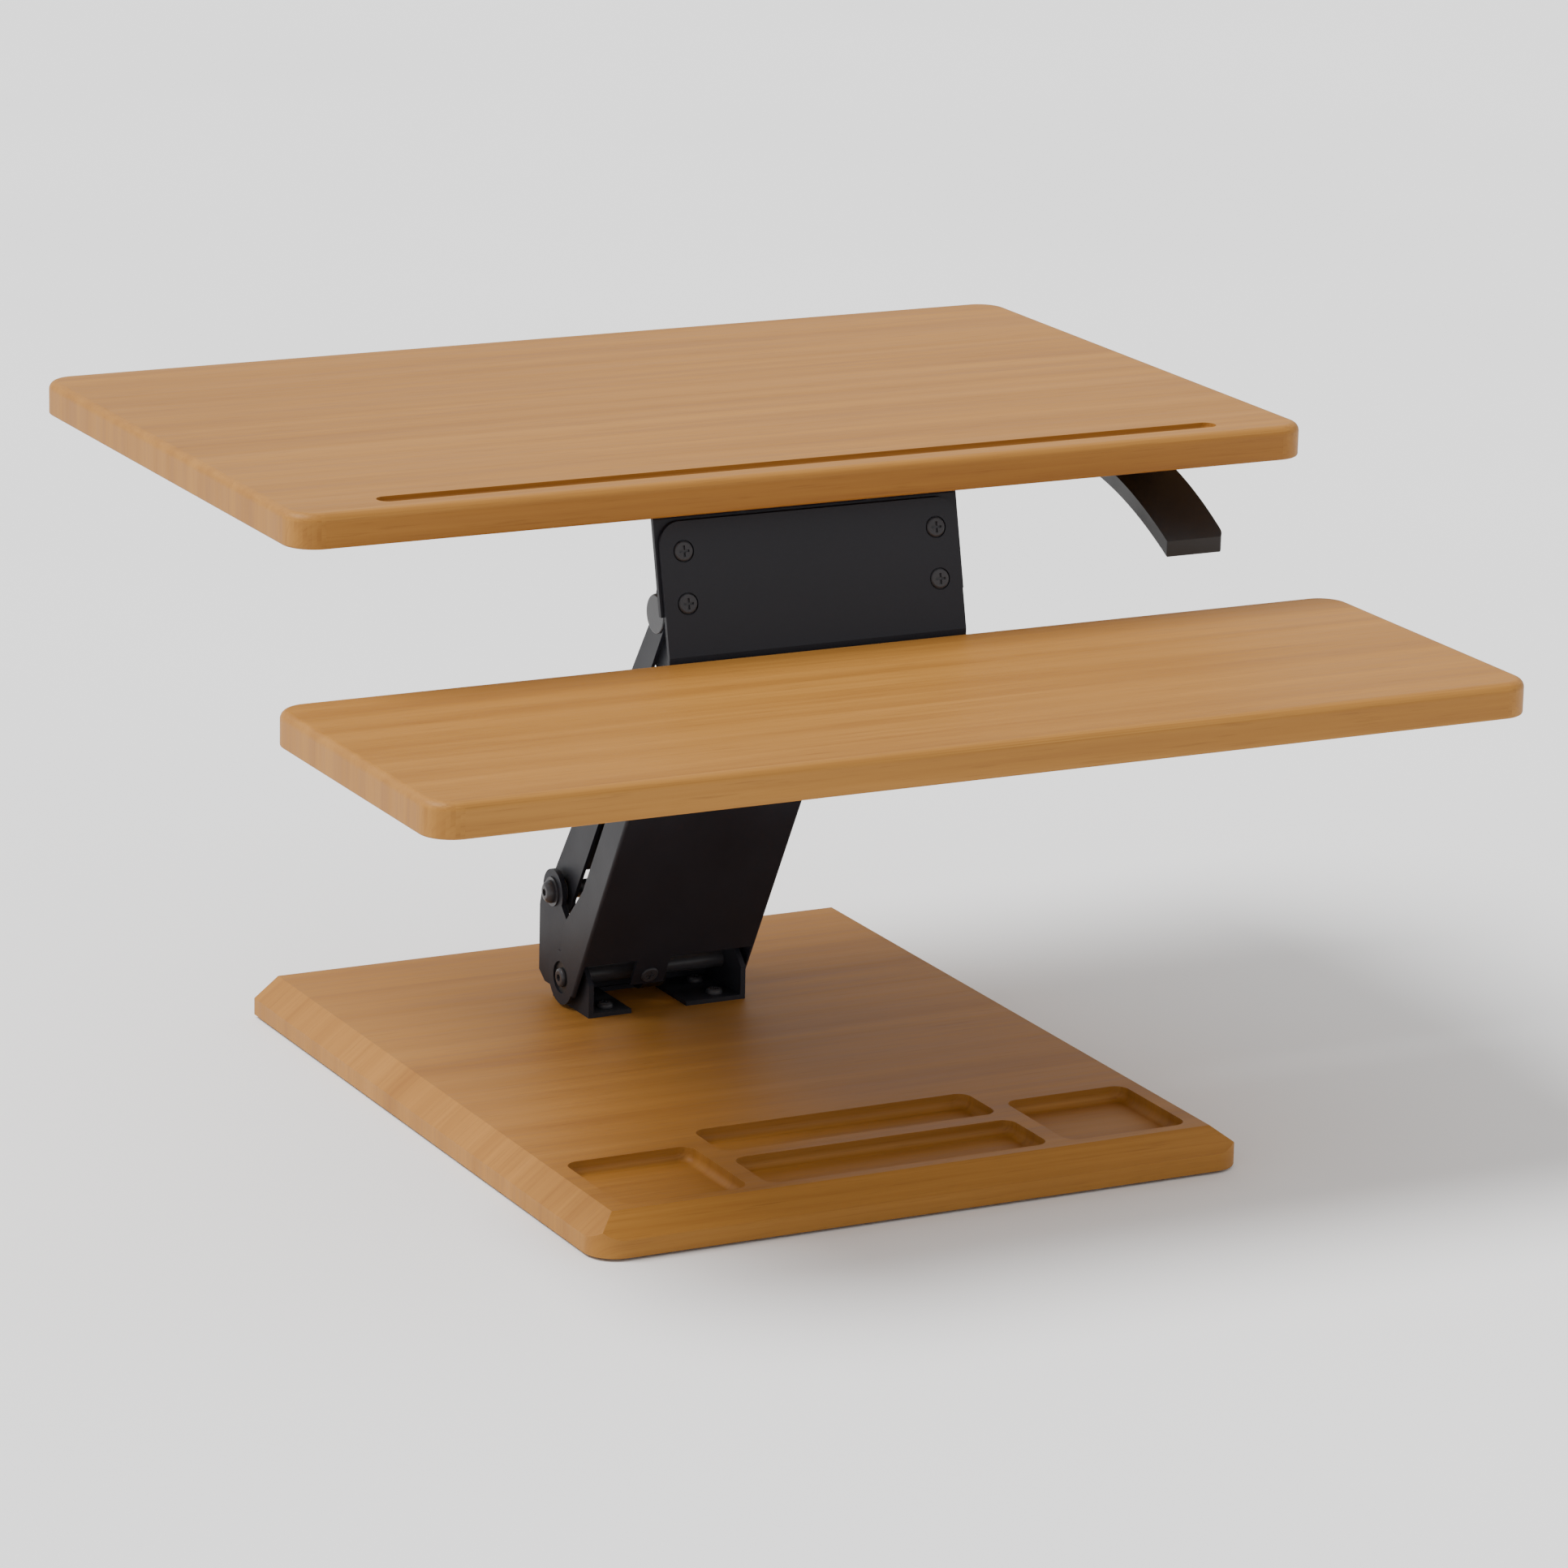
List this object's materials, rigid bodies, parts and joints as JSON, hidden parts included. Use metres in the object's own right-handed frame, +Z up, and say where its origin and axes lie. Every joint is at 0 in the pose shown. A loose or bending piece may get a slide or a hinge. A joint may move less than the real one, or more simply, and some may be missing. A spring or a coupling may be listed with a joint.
{
  "type": "standing desk converter",
  "caption": "Sit-stand desk converter: a deck and a keyboard tray held level over a base board with pen recesses by a leaning parallelogram arm, released by a hand lever.",
  "frame": {"origin": "on the floor, under the middle of the whole object's box at rest", "axes": "+Z up, -Y towards the user, +X to the user's right"},
  "size_m": [0.7372, 0.6674, 0.4319],
  "materials": {
    "wood_board": "satin wood-grain foil",
    "black_steel": "satin powder coat",
    "black_fastener": "black oxide",
    "bright_steel": "turned",
    "spring_black": "gloss",
    "black_nylon": "moulded",
    "black_rubber": "matt"
  },
  "bodies": {
    "base": {"base_board": "wood_board", "base_feet": "black_rubber", "base_bracket": "black_steel", "base_bracket_bolts": "black_fastener", "lower_front_shaft": "black_fastener", "lower_front_bolt_heads": "black_fastener", "lower_rear_shaft": "bright_steel", "lower_rear_bolt_heads": "black_fastener", "lower_rear_washers": "black_fastener", "lower_front_spacers": "black_fastener", "lower_rear_spacers": "bright_steel"},
    "front_arm": {"front_link": "black_steel", "lower_front_bushes": "black_nylon", "stop_pad": "black_rubber", "stop_pad_screw": "black_fastener"},
    "rear_arm": {"rear_link": "black_steel"},
    "deck": {"deck_board": "wood_board", "deck_bracket": "black_steel", "deck_bracket_screws": "black_fastener", "tray_bracket": "black_steel", "tray_bracket_screws": "black_fastener", "keyboard_tray": "wood_board", "tray_screws": "black_fastener", "upper_front_shaft": "bright_steel", "upper_front_bolt_heads": "black_fastener", "upper_front_spacers": "bright_steel", "upper_rear_shaft": "black_fastener", "upper_rear_caps": "black_fastener", "release_cable": "black_nylon", "cable_wire": "bright_steel", "cable_stop": "black_steel", "cable_clips": "black_nylon", "lever_bracket": "black_steel", "lever_bracket_screws": "black_fastener", "lever_pin": "bright_steel"},
    "spring_upper": {"spring_rod": "bright_steel", "spring_piston": "spring_black", "valve_pin": "bright_steel", "spring_head": "bright_steel"},
    "spring_lower": {"spring_tube": "spring_black", "spring_gland": "spring_black"},
    "rocker": {"release_rocker": "black_steel"},
    "lever": {"hand_lever": "black_nylon", "lever_return_spring": "bright_steel"}
  },
  "joints": [
    {"name": "arm_lift", "type": "hinge", "parent": "base", "child": "front_arm", "pos_m": [0, 0.1434, 0.0465], "axis": [1, 0, 0], "range_deg": [-10, 44]},
    {"name": "rear_arm_swing", "type": "hinge", "parent": "base", "child": "rear_arm", "pos_m": [0, 0.1694, 0.0975], "axis": [1, 0, 0], "range_deg": [-10.5, 44.5]},
    {"name": "deck_level", "type": "hinge", "parent": "front_arm", "child": "deck", "pos_m": [0, 0.00964, 0.26478], "axis": [1, 0, 0], "range_deg": [-44.5, 10.5]},
    {"name": "spring_swing", "type": "hinge", "parent": "deck", "child": "spring_upper", "pos_m": [0, 0.03564, 0.31578], "axis": [1, 0, 0], "range_deg": [-9.6, 40.54]},
    {"name": "spring_stroke", "type": "slide", "parent": "spring_upper", "child": "spring_lower", "axis": [0, -0.3715, 0.9284], "range_m": [-0.00949, 0.04005]},
    {"name": "lever_squeeze", "type": "hinge", "parent": "deck", "child": "lever", "pos_m": [0.2705, 0.024, 0.3985], "axis": [-1, 0, 0], "range_deg": [0, 12], "stiffness_Nm_per_rad": 0.6, "springref_deg": -8.59},
    {"name": "rocker_swing", "type": "hinge", "parent": "deck", "child": "rocker", "pos_m": [0.01725, 0.03564, 0.31578], "axis": [-1, 0, 0], "range_deg": [-0.5, 10.5]}
  ],
  "couplings": [
    {"joint": "rear_arm_swing", "follows": "arm_lift", "ratio": 1},
    {"joint": "deck_level", "follows": "arm_lift", "ratio": -1},
    {"joint": "spring_swing", "follows": "arm_lift", "ratio": 0.91},
    {"joint": "spring_stroke", "follows": "arm_lift", "m_per_rad": 0.0515},
    {"joint": "rocker_swing", "follows": "lever_squeeze", "ratio": 0.8}
  ]
}
